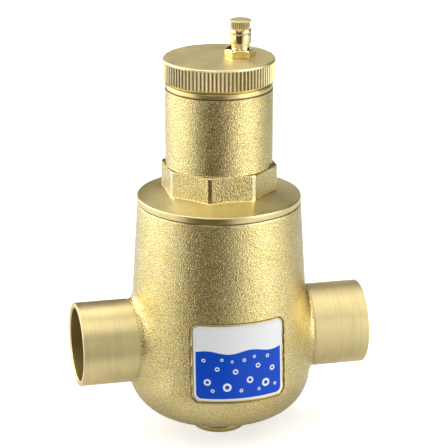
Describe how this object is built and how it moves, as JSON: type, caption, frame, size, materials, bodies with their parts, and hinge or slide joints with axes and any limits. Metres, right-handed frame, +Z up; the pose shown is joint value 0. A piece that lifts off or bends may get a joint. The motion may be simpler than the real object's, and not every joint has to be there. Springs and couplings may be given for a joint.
{
  "type": "in-line air separator with automatic air vent",
  "caption": "Brass in-line air separator with sweat pipe sockets, a mesh element inside, and a float-operated automatic air vent under a knurled screw cover on top.",
  "frame": {"origin": "centre of the flat face under the drain plug, on the vertical axis of the body, on the surface that the part stands on", "axes": "+Z up along the body's axis, +X along the pipe towards the outlet socket, which is the side the vent nozzle is offset to; the label faces -Y"},
  "size_m": [0.14, 0.0876, 0.202],
  "materials": {
    "cast_brass": "hot-forged and shot-blasted, matt grain",
    "turned_brass": "turned, satin",
    "polished_brass": "turned and polished",
    "rubber_seal": "matt black",
    "stainless": "bright drawn",
    "float_plastic": "moulded polypropylene",
    "label_film": "printed film, semi-gloss"
  },
  "bodies": {
    "housing": {"separator_body": "cast_brass", "label_plate": "label_film", "drain_plug": "cast_brass", "drain_plug_o_ring": "rubber_seal", "element_base": "stainless", "element_core_rod": "stainless", "element_vanes": "stainless", "element_outer_mesh": "stainless", "element_top_plate": "stainless", "float_chamber": "cast_brass", "bonnet_o_ring": "rubber_seal"},
    "cover_seal": {"cover_o_ring": "rubber_seal"},
    "cover": {"top_cover": "turned_brass", "vent_nozzle": "polished_brass", "nozzle_o_ring": "rubber_seal", "linkage_bracket": "stainless", "bracket_screws": "stainless", "lever_pin": "stainless", "lever_pin_clip": "stainless", "float_guide_pin": "turned_brass", "valve_spring": "stainless"},
    "float": {"float_shell": "float_plastic", "float_lid": "float_plastic", "float_hook": "stainless"},
    "lever": {"float_lever": "stainless"},
    "stem": {"valve_stem": "turned_brass", "stem_seal": "rubber_seal", "stem_clip": "stainless"},
    "cap_seal": {"vent_cap_washer": "rubber_seal"},
    "vent_cap": {"vent_cap": "polished_brass"}
  },
  "joints": [
    {"name": "cover_lift", "type": "slide", "parent": "housing", "child": "cover_seal", "axis": [0, 0, 1], "range_m": [0, 0.00601]},
    {"name": "cover_turn", "type": "hinge", "parent": "cover_seal", "child": "cover", "pos_m": [0, 0, 0.1741], "axis": [0, 0, 1], "range_deg": [0, 1440]},
    {"name": "float_rise", "type": "slide", "parent": "cover", "child": "float", "axis": [0, 0, 1], "range_m": [0, 0.0065]},
    {"name": "lever_swing", "type": "hinge", "parent": "cover", "child": "lever", "pos_m": [0.015, 0, 0.16645], "axis": [0, 1, 0], "range_deg": [0, 15.92]},
    {"name": "stem_slide", "type": "slide", "parent": "cover", "child": "stem", "axis": [0, 0, 1], "range_m": [0, 0.00131], "deforming": ["valve_spring"]},
    {"name": "vent_cap_lift", "type": "slide", "parent": "cover", "child": "cap_seal", "axis": [0, 0, 1], "range_m": [0, 0.0015]},
    {"name": "vent_cap_turn", "type": "hinge", "parent": "cap_seal", "child": "vent_cap", "pos_m": [0.0103, 0, 0.2], "axis": [0, 0, 1], "range_deg": [0, 720.2]}
  ],
  "couplings": [
    {"joint": "cover_lift", "follows": "cover_turn", "m_per_rad": 0.00023873},
    {"joint": "vent_cap_turn", "follows": "vent_cap_lift", "rad_per_m": 8377.6},
    {"joint": "lever_swing", "follows": "float_rise", "rad_per_m": 42.69},
    {"joint": "stem_slide", "follows": "float_rise", "ratio": 0.2}
  ]
}
